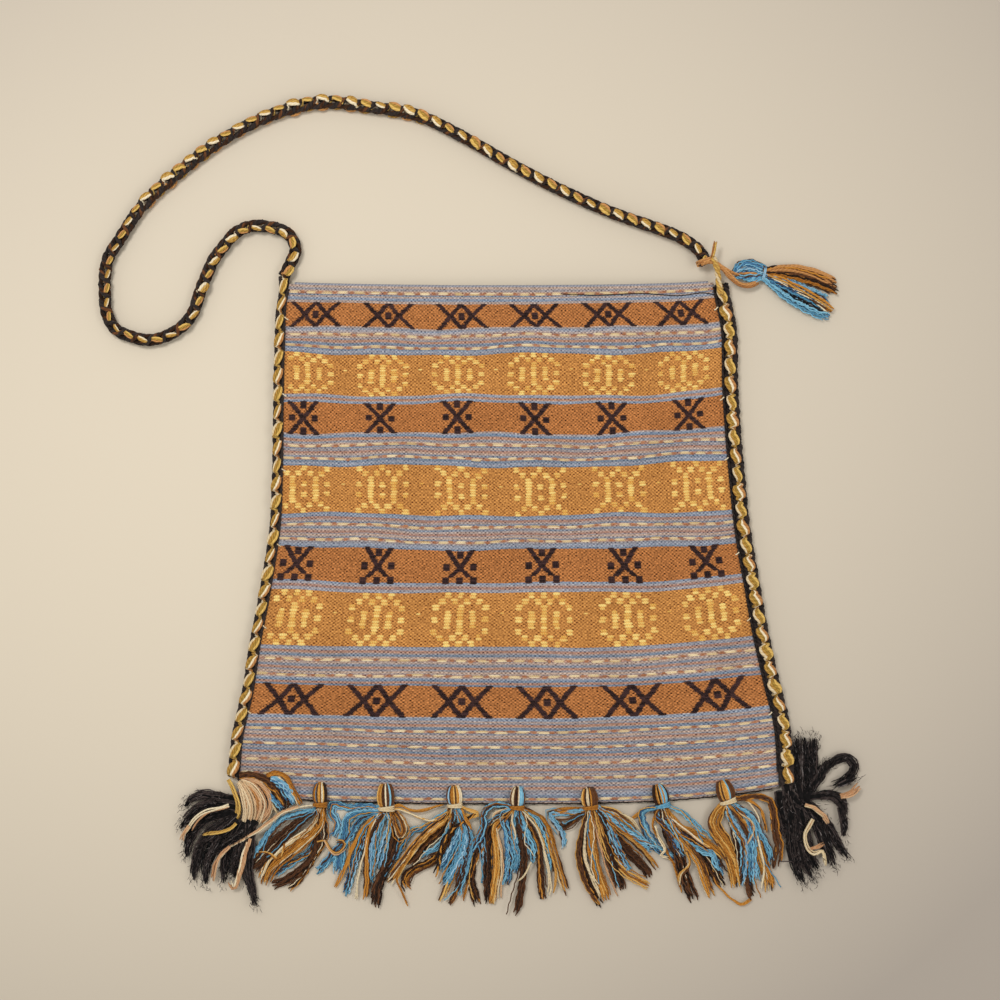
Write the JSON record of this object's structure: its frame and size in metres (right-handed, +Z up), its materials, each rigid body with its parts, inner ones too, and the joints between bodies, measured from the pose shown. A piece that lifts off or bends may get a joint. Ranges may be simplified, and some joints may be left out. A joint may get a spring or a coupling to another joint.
{
  "type": "fringe shoulder bag",
  "caption": "Flat woven wool shoulder bag with banded brocade front, braided sides and strap, a fringe of yarn tassels along the bottom and fluffy corner tassels, lying on its back.",
  "frame": {"origin": "On the surface the bag lies on, under the middle of the bag, its tassels and side braids", "axes": "+X across the bag to its right, +Y from the fringe towards the mouth, +Z up out of the front"},
  "size_m": [0.4541, 0.4942, 0.0148],
  "materials": {
    "woven_cloth": "matte wool weave",
    "braid": "matte plaited wool",
    "tie_yarn": "matte yarn",
    "fringe_yarn": "matte yarn",
    "pale_yarn": "matte yarn",
    "charcoal_wool": "matte loose wool"
  },
  "bodies": {
    "root": {"bag_body": "woven_cloth", "side_braid_left": "braid", "side_braid_right": "braid", "shoulder_strap": "braid", "strap_tie": "tie_yarn", "strap_tassel": "fringe_yarn", "tassel_1": "fringe_yarn", "tassel_2": "fringe_yarn", "tassel_3": "fringe_yarn", "tassel_4": "fringe_yarn", "tassel_5": "fringe_yarn", "tassel_6": "fringe_yarn", "tassel_7": "fringe_yarn", "corner_knot_left": "pale_yarn", "corner_tassel_left": "charcoal_wool", "corner_tassel_right": "charcoal_wool"}
  },
  "joints": []
}
